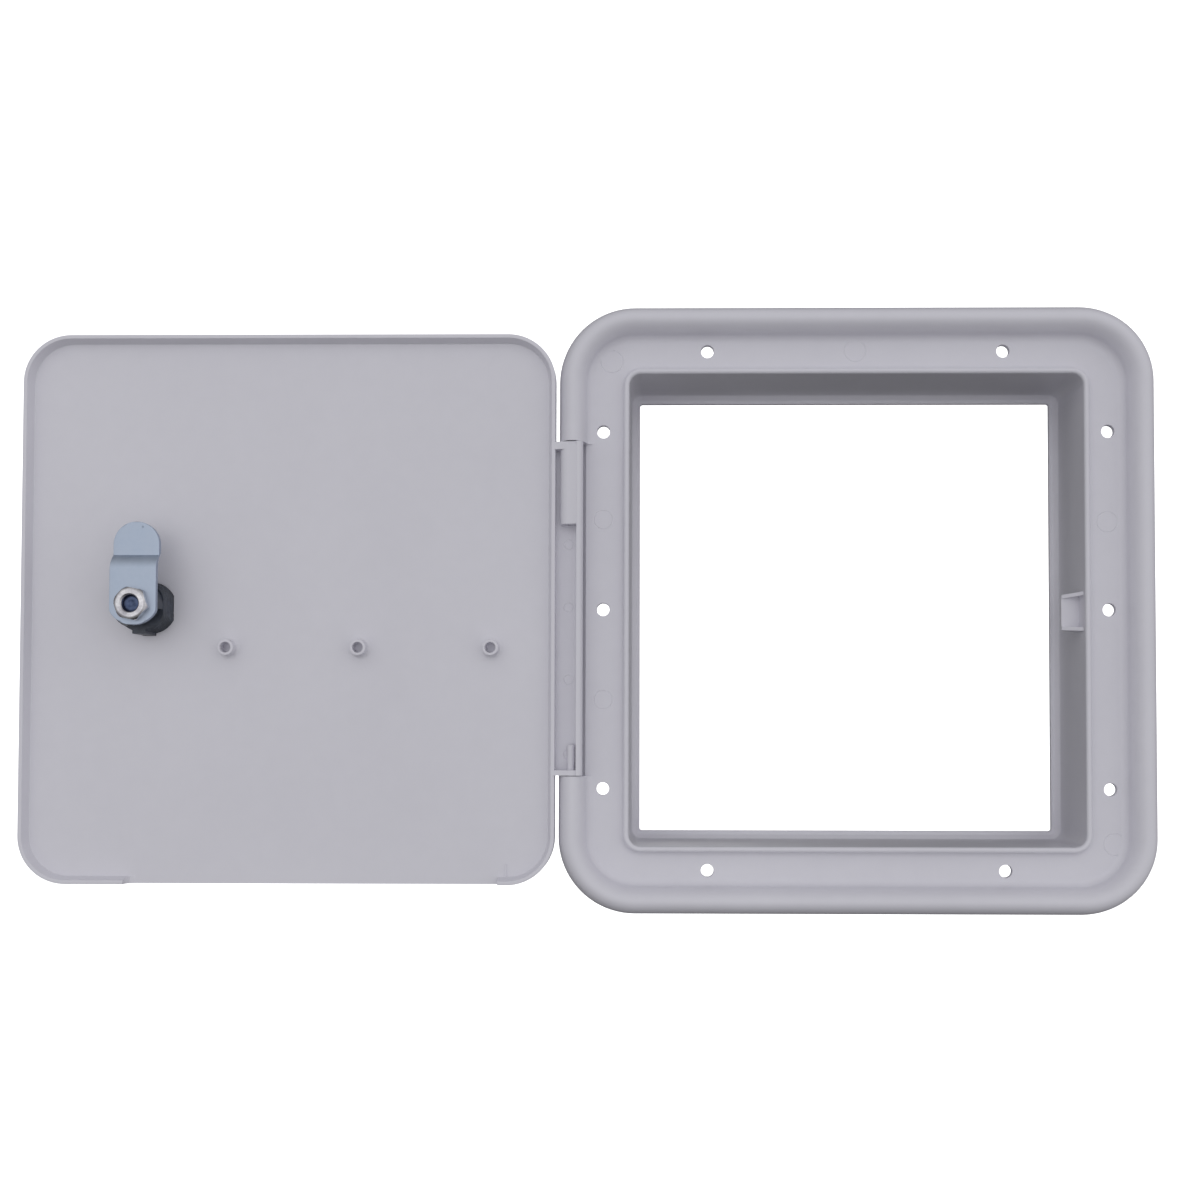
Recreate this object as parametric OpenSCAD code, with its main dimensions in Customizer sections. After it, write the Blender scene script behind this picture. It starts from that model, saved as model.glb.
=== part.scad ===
// Access hatch: a square moulded frame with a deep collar, and a shallow tray
// door that hangs on two pins in a gap of the frame's outer bead. A cam lock in
// the door turns behind a keeper on the collar's free side.
// Millimetres, +Z up. The origin is the centre of the frame's back face, the
// face that lies on the wall: the wall is at y > 0, the viewer at y < 0.
// The door is drawn closed and then swung open about its hinge.
// Modules that lie flat use x across, y for the height and z towards the viewer.

/* [Frame] */
// Width of the frame over its outer bead
frame_w = 230; // [215:1:250]
// Height of the frame over its outer bead
frame_h = 235; // [220:1:255]
// Corner radius of the frame's outline
frame_r = 29.4; // [26:0.2:33]
// Width of the raised outer bead
bead_w = 10.8; // [10.8:0.1:11.4]
// Height of the bead's crest over the wall
bead_h = 11; // [10.6:0.1:11.4]
// Thickness of the flange floor between bead and collar
floor_t = 2.5; // [2:0.1:3]
// Wall thickness of the hollow bead and of the collar
wall_t = 2.2; // [1.8:0.1:2.4]

/* [Aperture] */
// Clear width of the collar
ap_w = 175.6; // [170:0.2:177]
// Clear height of the collar
ap_h = 183; // [176:0.2:185]
// Corner radius inside the collar
ap_r = 4.5; // [4:0.1:6]
// Height of the rain lip over the wall
lip_h = 6; // [5.6:0.1:8]
// Depth of the collar behind the wall's face
collar_d = 30; // [24:0.5:40]
// How far the ledge at the back of the collar stands in
ledge_w = 3.5; // [2:0.1:3.6]

/* [Screw holes] */
// Radius of each screw hole
screw_r = 2.5; // [2:0.1:2.8]
// Screw column to screw column, across the frame
screw_x = 196; // [195:0.5:197]
// Corner screw rows on the sides
screw_side_z = 139; // [120:1:150]
// Screw columns in the top and bottom flange
screw_top_x = 115; // [90:1:130]
// Top row to bottom row
screw_z = 202; // [201:0.5:203]

/* [Hinge] */
// Hinge axis from the frame's centre, sideways
hinge_x = -110; // [-110.2:0.1:-109.8]
// Hinge axis in front of the wall
hinge_h = 6.75; // [6.5:0.05:6.9]
// Half length of the gap in the bead
notch_half = 64.5; // [50:0.5:66]
// Play between the door's tongue and each end of the gap
tongue_gap = 0.3; // [0.3:0.1:1]
// Radius of the hinge pins
pin_r = 1.5; // [1:0.1:1.8]
// Running clearance round a pin in the door
pin_play = 0.05; // [0.02:0.01:0.1]
// Length of the sleeve that the upper pin fills
sleeve_l = 32; // [20:1:45]

/* [Door] */
// Gap between the closed door and the bead, hinge side
door_gap = 0.4; // [0.4:0.1:0.8]
// Width of the door
door_w = 206.6; // [206:0.1:207.5]
// Height of the door
door_h = 212.4; // [210:0.1:212.6]
// Corner radius of the door
door_r = 18.4; // [17:0.1:22]
// Thickness of the door's panel
panel_t = 2.5; // [2:0.1:3]
// Height of the rim inside the door
rim_in = 4; // [3:0.1:5]
// Thickness of the rim at its edge
rim_t = 1.6; // [1.2:0.1:2]
// The low part of the bottom rim begins here, closed door
drain_x0 = -82; // [-95:1:-60]
// and ends here
drain_x1 = 62; // [40:1:80]

/* [Lock] */
// Lock centre on the closed door, sideways
lock_x = 53.5; // [50:0.1:54]
// Lock centre, height
lock_z = 0.3; // [-1:0.1:2]
// Height of the three bosses on the closed door
boss_z = -15.2; // [-18:0.1:-12]
// Radius of the threaded barrel
barrel_r = 9.9; // [9.6:0.1:10.2]
// Half distance between the barrel's flats
flat_half = 8.7; // [8.4:0.1:9]
// Height of the threaded barrel inside the door
barrel_l = 10.2; // [9:0.1:11]
// Height of the barrel's neck inside the door
neck_l = 14.4; // [13.5:0.1:14.6]
// Height of the cam's near face inside the door
cam_up = 16; // [15.9:0.1:16.4]
// Width of the cam
cam_w = 17.6; // [16:0.1:18]
// Reach of the cam from its pivot
cam_l = 31.4; // [29:0.1:32]
// Thickness of the cam
cam_t = 2; // [1.5:0.1:2.2]
// How far the cam's tip is bent towards the door
joggle = 3.1; // [2.5:0.1:3.2]

/* [Hidden] */
$fn = 48;
eps = 0.01;
grey = [0.73, 0.73, 0.75];
fw = frame_w / 2;
fh = frame_h / 2;
aw = ap_w / 2;
ah = ap_h / 2;
bead_b = bead_h - floor_t;             // the bead's rounded part stands on the floor's level
door_x0 = -fw + bead_w + door_gap;     // hinge edge of the closed door
door_cx = door_x0 + door_w / 2;
door_in = bead_h - panel_t;            // inner face of the closed door's panel
rim_edge = door_in - rim_in;           // edge of the rim, over the wall
tongue_half = notch_half - tongue_gap;
lip_out = wall_t + 1.8;                // lip and its outer fillet
cam_top = door_in - cam_up;            // face of the cam on the stop washer
keeper_v = cam_top + joggle + 0.3;     // back of the keeper, just in front of the closed cam's tip
nut_h = 2.8;
stud_h = 0.9;                          // stud over the cam's outer face
sweep_r = 6.75;                        // room round the hinge axis for the tongue's edge
post_h = cam_up - 0.3 - barrel_l + 0.5;

// Points on a rounded crest: half width a, height b, around (c, v0)
function crest(c, a, b, v0, t0, t1, n) =
    [for (i = [0:n]) let (t = t0 + (t1 - t0) * i / n) [c + a * cos(t), v0 + b * sin(t)]];
// Points on a circular arc
function arc(cx, cy, r, t0, t1, n) =
    [for (i = [0:n]) let (t = t0 + (t1 - t0) * i / n) [cx + r * cos(t), cy + r * sin(t)]];

// Lying pieces stand up: x stays, y becomes the height, z points at the viewer
module stand() rotate([90, 0, 0]) children();
// The closed door swings open by half a turn about the hinge axis
module opened()
    translate([hinge_x, -hinge_h, 0]) rotate([0, 0, 180])
        translate([-hinge_x, hinge_h, 0]) children();

// Rounded rectangle from its half sizes
module rr(hw, hh, r) {
    square([2 * hw, 2 * (hh - r)], center = true);
    square([2 * (hw - r), 2 * hh], center = true);
    for (sx = [-1, 1], sy = [-1, 1]) translate([sx * (hw - r), sy * (hh - r)]) circle(r);
}

// A profile run round a rounded rectangle; its x is r on the outline
module ring(hw, hh, r) {
    for (k = [0:3]) {
        a = k % 2 == 0 ? hw : hh;
        b = k % 2 == 0 ? hh : hw;
        rotate([0, 0, 90 * k]) {
            translate([a - r, 0, 0]) rotate([90, 0, 0])
                linear_extrude(2 * (b - r), center = true) children();
            translate([a - r, b - r, 0]) rotate_extrude(angle = 90) children();
        }
    }
}

// Section of the solid bead, with the fillet at its foot
module bead_profile(r) {
    c = r - bead_w / 2;
    polygon(concat(
        [[r - bead_w - 3, 0], [r, 0]],
        crest(c, bead_w / 2, bead_b, floor_t, 0, 158, 20),
        arc(r - bead_w - 2.65, floor_t + 3, 3, -10, -90, 5),
        [[r - bead_w - 3, floor_t]]));
}

// Section of the bead's hollow, open to the wall
module bead_hollow(r) {
    c = r - bead_w / 2;
    polygon(concat(
        [[c - bead_w / 2 + wall_t, -1], [c + bead_w / 2 - wall_t, -1]],
        crest(c, bead_w / 2 - wall_t, bead_b - wall_t, floor_t, 0, 180, 16)));
}

// Section of rain lip and collar; x is ap_r on the collar's inner face
module collar_profile() {
    polygon(concat(
        [[ap_r, -collar_d], [ap_r + wall_t, -collar_d], [ap_r + wall_t, 0], [ap_r + lip_out, 0]],
        arc(ap_r + lip_out, floor_t + 1.8, 1.8, 270, 180, 4),
        arc(ap_r + wall_t / 2, lip_h - wall_t / 2, wall_t / 2, 0, 180, 8)));
}

// Keeper on the collar's free side: a plate with a web above and below, both
// sloping down to its tip, and a little narrower there
module keeper() {
    t = aw - 6.9;
    w = aw + 1;
    v = keeper_v;
    intersection() {
        translate([0, 0, v]) union() {
            linear_extrude(2) polygon([[t, -7.6], [w, -8.3], [w, 7.3], [t, 6.2]]);
            linear_extrude(9) polygon([[t, -7.6], [w, -8.3], [w, -6.8], [t, -6.1]]);
            linear_extrude(9) polygon([[t, 4.7], [w, 5.8], [w, 7.3], [t, 6.2]]);
        }
        rotate([90, 0, 0]) linear_extrude(40, center = true)
            polygon([[t - 1, v - 1], [w + 1, v - 1], [w + 1, v + 7.4], [aw, v + 7.4], [t, v + 2.3], [t - 1, v + 2.3]]);
    }
}

module frame_moulding() {
    color(grey) stand() difference() {
        union() {
            difference() {
                ring(fw, fh, frame_r) bead_profile(frame_r);
                ring(fw, fh, frame_r) bead_hollow(frame_r);
            }
            // flange floor
            linear_extrude(floor_t) difference() {
                rr(fw - bead_w, fh - bead_w, frame_r - bead_w);
                rr(aw, ah, ap_r);
            }
            ring(aw + lip_out, ah + lip_out, ap_r + lip_out) collar_profile();
            // ledge at the back of the collar
            translate([0, 0, -collar_d]) linear_extrude(2) difference() {
                rr(aw + 1, ah + 1, ap_r + 1);
                rr(aw - ledge_w, ah - ledge_w, ap_r - ledge_w);
            }
            // sloping corner between collar and ledge
            ring(aw, ah, ap_r) polygon([[ap_r + 0.5, 4.2 - collar_d], [ap_r, 4.2 - collar_d], [ap_r - 2, 2 - collar_d],
                [ap_r - 2, 1.5 - collar_d], [ap_r + 0.5, 1.5 - collar_d]]);
            // solid ends of the bead that hold the hinge pins
            for (s = [-1, 1])
                translate([-fw + 1.8, s > 0 ? notch_half - 1 : -notch_half - 13, 0]) cube([7.2, 14, bead_h - 2.4]);
            keeper();
        }
        // gap in the bead for the door's tongue, round where the tongue's edge swings
        translate([-fw - 1, -notch_half, -1]) cube([8.6, 2 * notch_half, bead_h + 2]);
        translate([hinge_x, 0, hinge_h]) rotate([90, 0, 0]) cylinder(r = sweep_r, h = 2 * notch_half, center = true, $fn = 96);
        translate([-fw - 1, -notch_half, floor_t]) cube([14.7, 2 * notch_half, bead_h + 2]);
        // pin holes in the bead's ends
        for (s = [-1, 1]) translate([hinge_x, s * (notch_half + 5.5), hinge_h])
            rotate([90, 0, 0]) cylinder(r = pin_r, h = 12, center = true);
        // screw holes
        for (sx = [-1, 1]) {
            for (sz = [-1, 0, 1])
                translate([sx * screw_x / 2, sz * screw_side_z / 2, -1]) cylinder(r = screw_r, h = floor_t + 2);
            for (sz = [-1, 1])
                translate([sx * screw_top_x / 2, sz * screw_z / 2, -1]) cylinder(r = screw_r, h = floor_t + 2);
        }
    }
}

// The pins are steel rods on the hinge axis, fast in the frame
module hinge_pin_upper()
    color("silver") translate([hinge_x, -hinge_h, tongue_half - sleeve_l + 1])
        cylinder(r = pin_r, h = notch_half + 11 - (tongue_half - sleeve_l + 1));
module hinge_pin_lower()
    color("silver") translate([hinge_x, -hinge_h, -notch_half - 11])
        cylinder(r = pin_r, h = 11 + tongue_gap + 1.8);

// Section of the door's edge: rounded outside corner, rim and inner fillet
module rim_profile(r) {
    polygon(concat(
        [[r - 6, door_in], [r - 6, bead_h]],
        arc(r - 1.8, bead_h - 1.8, 1.8, 90, 0, 5),
        [[r, rim_edge + 0.3], [r - 0.3, rim_edge], [r - rim_t + 0.3, rim_edge], [r - rim_t, rim_edge + 0.3]],
        arc(r - rim_t - 1.5, door_in - 0.5, 0.5, 0, 90, 4)));
}

// Section of the hinge tongue about the hinge axis: x towards the door, y to the viewer
module tongue_profile() {
    a = bead_w / 2 - 0.3;
    b = bead_b - 0.3;
    c = -fw + bead_w / 2 - hinge_x;
    v0 = floor_t - hinge_h;
    top = v0 + b;
    x1 = door_x0 - hinge_x + 1;
    polygon(concat(
        [[x1, top - 2], [x1, top]],
        crest(c, a, b, v0, 90, 163, 14),
        [[c - a + 0.45, v0 + 1.3], [c - a + 0.9, v0 + 0.55], [c - a + 1.6, v0 + 0.1], [c - a + 2.7, v0 - 0.1]],
        arc(c - a + 4.2, top - 3.5, 1.5, 180, 90, 5)));
}

// Outline of the tongue's end webs
module web_profile() {
    a = bead_w / 2 - 0.9;
    b = bead_b - 0.9;
    c = -fw + bead_w / 2 - hinge_x;
    v0 = floor_t - hinge_h;
    x1 = door_x0 - hinge_x + 1;
    polygon(concat(
        [[x1, rim_edge - hinge_h], [x1, v0 + b]],
        crest(c, a, b, v0, 90, 160, 12),
        [[c - a + 0.5, v0 + 1.6], [c - a + 1, v0 + 0.9], [c - a + 1.9, v0 + 0.5], [c + 1.5, rim_edge - hinge_h - 1]]));
}

module door_moulding() {
    color(grey) opened() stand() difference() {
        union() {
            translate([door_cx, 0, 0]) {
                difference() {
                    ring(door_w / 2, door_h / 2, door_r) rim_profile(door_r);
                    // the bottom rim is left off over this length
                    translate([drain_x0 - door_cx, -door_h / 2 - 1, rim_edge - 1])
                        cube([drain_x1 - drain_x0, 5, rim_in + 1]);
                }
                translate([0, 0, door_in]) linear_extrude(panel_t)
                    rr(door_w / 2 - 5.9, door_h / 2 - 5.9, door_r - 5.9);
            }
            // hinge tongue with its end webs and the sleeve of the upper pin
            translate([hinge_x, 0, hinge_h]) rotate([90, 0, 0]) {
                linear_extrude(2 * tongue_half, center = true) tongue_profile();
                translate([0, 0, -tongue_half]) linear_extrude(2) web_profile();
                translate([0, 0, tongue_half - 2.9]) linear_extrude(2.9) web_profile();
                translate([0, 0, 0.05 - tongue_half]) linear_extrude(sleeve_l)
                    polygon(concat(arc(0.9, 0, 3.5, -90, 90, 20), arc(0, 0, 3.5, 90, 200, 12), [[-2.9, -3.9], [-2.2, -4.2]]));
            }
            // three hollow bosses
            for (x = [-79, -28, 23])
                translate([x, boss_z, door_in - 5]) {
                    cylinder(r = 3.1, h = 5.5);
                    translate([0, 0, 4]) cylinder(r1 = 3.1, r2 = 4, h = 1.02);
                }
        }
        for (x = [-79, -28, 23])
            translate([x, boss_z, door_in - 6]) cylinder(r = 2, h = 5.5);
        // running holes for the pins
        translate([hinge_x, 0, hinge_h]) rotate([90, 0, 0])
            cylinder(r = pin_r + pin_play, h = 2 * tongue_half + 2, center = true);
        // double-D hole for the lock, with a slot for the barrel's rib
        translate([lock_x, lock_z, door_in - 1]) linear_extrude(panel_t + 2) {
            intersection() {
                circle(barrel_r + 0.1);
                square([2 * flat_half + 0.2, 30], center = true);
            }
            translate([-2.1, -barrel_r - 0.9]) square([5.4, 3]);
        }
    }
}

// Housing: a round bezel outside the door, a double-D barrel with a locating rib
// through it, and a neck with a post that stops the washer
module lock_housing() {
    color([0.06, 0.06, 0.07]) opened() stand() translate([lock_x, lock_z, 0]) difference() {
        union() {
            translate([0, 0, bead_h]) cylinder(r = 13, h = 1.4);
            translate([0, 0, bead_h + 1.4]) cylinder(r1 = 13, r2 = 12.4, h = 0.6);
            translate([0, 0, door_in - barrel_l]) intersection() {
                cylinder(r = barrel_r, h = barrel_l + panel_t + 0.5);
                translate([-flat_half, -15, -1]) cube([2 * flat_half, 30, barrel_l + panel_t + 3]);
            }
            translate([-2, -barrel_r - 0.8, door_in - barrel_l]) cube([5.2, 3, barrel_l + panel_t + 0.5]);
            translate([0, 0, door_in - neck_l]) cylinder(r = 7.2, h = neck_l - barrel_l + 0.5);
            // the post, stepped where it leaves the neck
            translate([0, 0, door_in - cam_up + 0.3]) rotate([0, 0, 104]) rotate_extrude(angle = 86)
                polygon([[7.4, 0], [8.6, 0], [8.6, post_h], [6.8, post_h], [6.8, post_h - neck_l + barrel_l - 0.5], [7.4, post_h - neck_l + barrel_l - 0.5]]);
        }
        translate([0, 0, door_in - neck_l - 1]) cylinder(r = 5.5, h = 40);
        translate([0, 0, bead_h + 0.2]) cylinder(r = 8.4, h = 3);
    }
}

// Plug: the key's face outside, the square tail and the threaded stud inside
module lock_plug() {
    color([0.75, 0.76, 0.78]) opened() stand() translate([lock_x, lock_z, 0]) difference() {
        union() {
            translate([0, 0, bead_h + 0.4]) cylinder(r = 8.2, h = 1.3);
            translate([0, 0, door_in - neck_l + 0.1]) cylinder(r = 5.4, h = neck_l + panel_t + 0.5);
            intersection() {
                translate([0, 0, cam_top - cam_t]) cylinder(r = 5, h = cam_t + 2.5);
                translate([-3.9, -6, cam_top - cam_t - 1]) cube([7.8, 12, 10]);
            }
            translate([0, 0, cam_top - cam_t - stud_h]) cylinder(r = 3.1, h = stud_h + 1);
        }
        // key slot
        translate([-4.2, -1, bead_h - 5]) cube([8.4, 2, 10]);
    }
}

// Stop washer between neck and cam: half of its rim is left, and meets the post at each end
module stop_washer() {
    color([0.2, 0.2, 0.22]) opened() stand() translate([lock_x, lock_z, cam_top + 0.02]) difference() {
        union() {
            cylinder(r = 6.9, h = 1.4);
            rotate([0, 0, -76]) rotate_extrude(angle = 176) translate([6.5, 0]) square([2.5, 1.4]);
        }
        translate([0, 0, -1]) intersection() {
            cylinder(r = 5.05, h = 4);
            translate([-3.95, -6, -1]) cube([7.9, 12, 6]);
        }
    }
}

// Outline of the cam, seen flat, pointing up: a blunt end, sides that draw in a
// little and a round tip
module cam_plan() {
    a = cam_w / 2;
    intersection() {
        union() {
            translate([-a, -a]) square([cam_w, a + 12]);
            polygon([[-a, 11.9], [a, 11.9], [a - 0.1, cam_l - a], [-a + 0.1, cam_l - a]]);
            translate([0, cam_l - a + 0.1]) circle(a - 0.1);
        }
        union() {
            translate([0, 2.1]) circle(10);
            translate([-20, 2.1]) square([40, 40]);
        }
    }
}

// Cam: a flat steel strip with a step towards the door
module lock_cam() {
    color([0.66, 0.7, 0.76]) opened() stand() translate([lock_x, lock_z, cam_top - cam_t]) difference() {
        intersection() {
            translate([0, 0, -1]) linear_extrude(12) cam_plan();
            rotate([90, 0, 90]) linear_extrude(40, center = true) polygon([
                [-15, 0], [14.6, 0], [18.6, joggle], [40, joggle],
                [40, joggle + cam_t], [17.8, joggle + cam_t], [13.8, cam_t], [-15, cam_t]]);
        }
        translate([0, 0, -1]) intersection() {
            cylinder(r = 5.05, h = cam_t + 2);
            translate([-3.95, -6, -1]) cube([7.9, 12, 6]);
        }
    }
}

// Hexagon nut with a turned chamfer
module cam_nut() {
    color([0.8, 0.8, 0.82]) opened() stand() translate([lock_x, lock_z, cam_top - cam_t - nut_h]) difference() {
        intersection() {
            union() {
                cylinder(r1 = 5.4, r2 = 6.6, h = 1.2);
                translate([0, 0, 1.2]) cylinder(r = 6.6, h = nut_h - 1.22);
            }
            translate([0, 0, -1]) cylinder(r = 6.75, h = 10, $fn = 6);
        }
        translate([0, 0, -1]) cylinder(r = 3.05, h = 10);
    }
}

frame_moulding();
hinge_pin_upper();
hinge_pin_lower();
door_moulding();
lock_housing();
lock_plug();
stop_washer();
lock_cam();
cam_nut();
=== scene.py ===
import math

import bmesh
import bpy
from mathutils import Matrix, Vector


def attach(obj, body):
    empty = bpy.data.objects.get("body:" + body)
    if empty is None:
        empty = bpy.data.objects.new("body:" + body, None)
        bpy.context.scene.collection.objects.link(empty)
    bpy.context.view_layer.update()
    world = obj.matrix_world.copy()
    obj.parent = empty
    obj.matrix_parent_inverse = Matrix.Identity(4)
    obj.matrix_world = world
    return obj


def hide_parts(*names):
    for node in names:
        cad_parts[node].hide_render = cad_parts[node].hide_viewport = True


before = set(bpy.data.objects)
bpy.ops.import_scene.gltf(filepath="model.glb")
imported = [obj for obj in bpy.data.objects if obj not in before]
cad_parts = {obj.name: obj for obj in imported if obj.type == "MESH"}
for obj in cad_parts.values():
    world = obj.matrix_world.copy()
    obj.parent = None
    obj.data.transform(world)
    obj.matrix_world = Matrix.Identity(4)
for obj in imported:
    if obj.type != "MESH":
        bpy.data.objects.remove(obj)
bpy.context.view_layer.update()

# Pieces are drawn lying, in millimetres: x across, y for the height, z ("v") towards
# the viewer, with the wall's face at v = 0. place() stands them up in the row frame.
# Door pieces are drawn closed and then swung open by half a turn, as the CAD does.

SCENE = bpy.context.scene
STAND = Matrix(((1, 0, 0, 0), (0, 0, -1, 0), (0, 1, 0, 0), (0, 0, 0, 1)))
HINGE_X, HINGE_H = -110.0, 6.75
OPENED = Matrix(((-1, 0, 0, 2 * HINGE_X), (0, 1, 0, 0), (0, 0, -1, 2 * HINGE_H), (0, 0, 0, 1)))
MM = Matrix.Scale(0.001, 4)

FW, FH, FR = 115.0, 117.5, 29.4            # frame: half sizes and corner radius
BEAD_W, BEAD_H, FLOOR = 10.8, 11.0, 2.5
AW, AH, AR = 87.8, 91.5, 4.5               # collar
WALL, LIP_H, DEPTH, LEDGE = 2.2, 6.0, 30.0, 3.5
SWEEP = 6.75                               # room round the hinge axis for the tongue's edge
NOTCH = 64.5
TONGUE = 64.2
DOOR_X0, DOOR_W, DOOR_H, DOOR_R = -103.8, 206.6, 212.4, 18.4
DOOR_CX = DOOR_X0 + DOOR_W / 2
DOOR_IN, DOOR_OUT = 8.5, 11.0
RIM_EDGE = 4.5
LOCK_X, LOCK_Z = 53.5, 0.3
BARREL_R, FLAT, BARREL_L, NECK_L, CAM_UP = 9.9, 8.7, 10.2, 14.4, 16.0
CAM_W, CAM_L, CAM_T, JOG = 17.6, 31.4, 2.0, 3.1
CAM_TOP = DOOR_IN - CAM_UP
NUT_H, STUD_H = 2.8, 0.9
BOSSES = [(-79, -15.2), (-28, -15.2), (23, -15.2)]
SCREWS = [(sx * 98.0, sz * 69.5) for sx in (-1, 1) for sz in (-1, 0, 1)] + \
         [(sx * 57.5, sz * 101.0) for sx in (-1, 1) for sz in (-1, 1)]


# ---------------------------------------------------------------- mesh helpers

def rad(a):
    return math.radians(a)


def arc(cx, cy, r, a0, a1, n):
    return [(cx + r * math.cos(rad(a0 + (a1 - a0) * i / n)),
             cy + r * math.sin(rad(a0 + (a1 - a0) * i / n))) for i in range(n + 1)]


def rounded(hw, hh, r, v, cx=0.0, cy=0.0, n=20, m=6):
    """A ring of points on a rounded rectangle, with the same count for any size."""
    r = max(min(r, hw - 0.01, hh - 0.01), 0.02)
    pts = []
    for k, (sx, sy) in enumerate(((1, 1), (-1, 1), (-1, -1), (1, -1))):
        for i in range(n + 1):
            a = rad(90 * k + 90 * i / n)
            pts.append((cx + sx * (hw - r) + r * math.cos(a), cy + sy * (hh - r) + r * math.sin(a), v))
        # points along the next straight side
        nx, ny = ((-1, 1), (-1, -1), (1, -1), (1, 1))[k]
        a = rad(90 * (k + 1))
        p0 = pts[-1]
        p1 = (cx + nx * (hw - r) + r * math.cos(a), cy + ny * (hh - r) + r * math.sin(a))
        for i in range(1, m):
            t = i / m
            pts.append((p0[0] + (p1[0] - p0[0]) * t, p0[1] + (p1[1] - p0[1]) * t, v))
    return pts


def raw(name, verts, faces):
    me = bpy.data.meshes.new(name)
    me.from_pydata([tuple(v) for v in verts], [], faces)
    bm = bmesh.new()
    bm.from_mesh(me)
    bmesh.ops.remove_doubles(bm, verts=bm.verts, dist=1e-4)
    bmesh.ops.recalc_face_normals(bm, faces=bm.faces)
    bm.to_mesh(me)
    bm.free()
    ob = bpy.data.objects.new(name, me)
    SCENE.collection.objects.link(ob)
    return ob


def loft(name, rings, close=False):
    """Faces between rings of points that have the same count; capped unless close."""
    n = len(rings[0])
    verts = [p for r in rings for p in r]
    faces = []
    last = len(rings) if close else len(rings) - 1
    for i in range(last):
        a, b = i * n, ((i + 1) % len(rings)) * n
        for j in range(n):
            k = (j + 1) % n
            faces.append((a + j, a + k, b + k, b + j))
    if not close:
        faces.append(tuple(range(n)))
        faces.append(tuple(reversed(range(len(verts) - n, len(verts)))))
    return raw(name, verts, faces)


def prism(name, outline, lo, hi, axis="v"):
    """An outline run from lo to hi along x, y or v."""
    def put(p, h):
        return {"v": (p[0], p[1], h), "y": (p[0], h, p[1]), "x": (h, p[0], p[1])}[axis]
    return loft(name, [[put(p, lo) for p in outline], [put(p, hi) for p in outline]])


def turned(name, profile, n=64, at=(0, 0), v0=0.0, axis="v", close=False):
    """A (radius, height) profile turned about its axis. A radius of 0 makes a point."""
    verts, index = [], []
    for r, h in profile:
        row = []
        for i in range(n if r > 1e-6 else 1):
            a = 2 * math.pi * i / n
            p = (r * math.cos(a), r * math.sin(a))
            q = {"v": (at[0] + p[0], at[1] + p[1], v0 + h), "y": (at[0] + p[0], v0 + h, at[1] + p[1])}[axis]
            row.append(len(verts))
            verts.append(q)
        index.append(row)
    faces = []
    pairs = list(zip(index, index[1:])) + ([(index[-1], index[0])] if close else [])
    for a, b in pairs:
        for i in range(n):
            k = (i + 1) % n
            if len(a) > 1 and len(b) > 1:
                faces.append((a[i], a[k], b[k], b[i]))
            elif len(b) > 1:
                faces.append((a[0], b[k], b[i]))
            elif len(a) > 1:
                faces.append((a[i], a[k], b[0]))
    return raw(name, verts, faces)


def block(name, lo, hi, bevel=0.0, segments=2):
    x0, y0, z0 = lo
    x1, y1, z1 = hi
    ob = loft(name, [[(x0, y0, z), (x1, y0, z), (x1, y1, z), (x0, y1, z)] for z in (z0, z1)])
    if bevel:
        round_edges(ob, bevel, segments)
    return ob


def round_edges(ob, width, segments=2, pick=None, angle=25.0):
    """Rounds the edges that pick() accepts, where the faces meet at more than angle."""
    bm = bmesh.new()
    bm.from_mesh(ob.data)
    edges = [e for e in bm.edges if len(e.link_faces) == 2 and e.calc_face_angle(0) > rad(angle)
             and (pick is None or pick(e))]
    if edges:
        bmesh.ops.bevel(bm, geom=edges, offset=width, offset_type="OFFSET", segments=segments,
                        profile=0.5, affect="EDGES", clamp_overlap=True)
    bm.to_mesh(ob.data)
    bm.free()


def settle(ob):
    """Applies the modifiers."""
    dg = bpy.context.evaluated_depsgraph_get()
    me = bpy.data.meshes.new_from_object(ob.evaluated_get(dg))
    old = ob.data
    ob.modifiers.clear()
    ob.data = me
    bpy.data.meshes.remove(old)


def joined(name, obs):
    bm = bmesh.new()
    for o in obs:
        bm.from_mesh(o.data)
    me = bpy.data.meshes.new(name)
    bm.to_mesh(me)
    bm.free()
    for o in obs:
        drop(o)
    ob = bpy.data.objects.new(name, me)
    SCENE.collection.objects.link(ob)
    return ob


def drop(ob):
    me = ob.data
    bpy.data.objects.remove(ob)
    bpy.data.meshes.remove(me)


def cut(ob, tools, operation="DIFFERENCE"):
    """Boolean with each tool in turn; tools in one tuple don't touch each other and go together."""
    for t in tools:
        if isinstance(t, (tuple, list)):
            t = joined("tool", list(t))
        m = ob.modifiers.new("b", "BOOLEAN")
        m.operation = operation
        m.solver = "EXACT"
        m.object = t
        bpy.context.view_layer.update()
        settle(ob)
        drop(t)
    bm = bmesh.new()
    bm.from_mesh(ob.data)
    bmesh.ops.remove_doubles(bm, verts=bm.verts, dist=2e-4)
    bmesh.ops.dissolve_degenerate(bm, edges=bm.edges, dist=1e-4)
    bm.to_mesh(ob.data)
    bm.free()
    return ob


def place(ob, name, body, material, nodes=(), opened=False, angle=32.0, weight=True):
    m = MM @ STAND @ (OPENED if opened else Matrix.Identity(4))
    ob.name = name
    ob.data.name = name
    ob.data.transform(m)
    ob.data.update()
    for p in ob.data.polygons:
        p.use_smooth = True
    ob.data.set_sharp_from_angle(angle=rad(angle))
    if weight:
        w = ob.modifiers.new("normals", "WEIGHTED_NORMAL")
        w.keep_sharp = True
        w.weight = 60
    ob.data.materials.clear()
    ob.data.materials.append(material)
    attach(ob, body)
    if nodes:
        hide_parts(*nodes)
    return ob


# ---------------------------------------------------------------- materials

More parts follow.
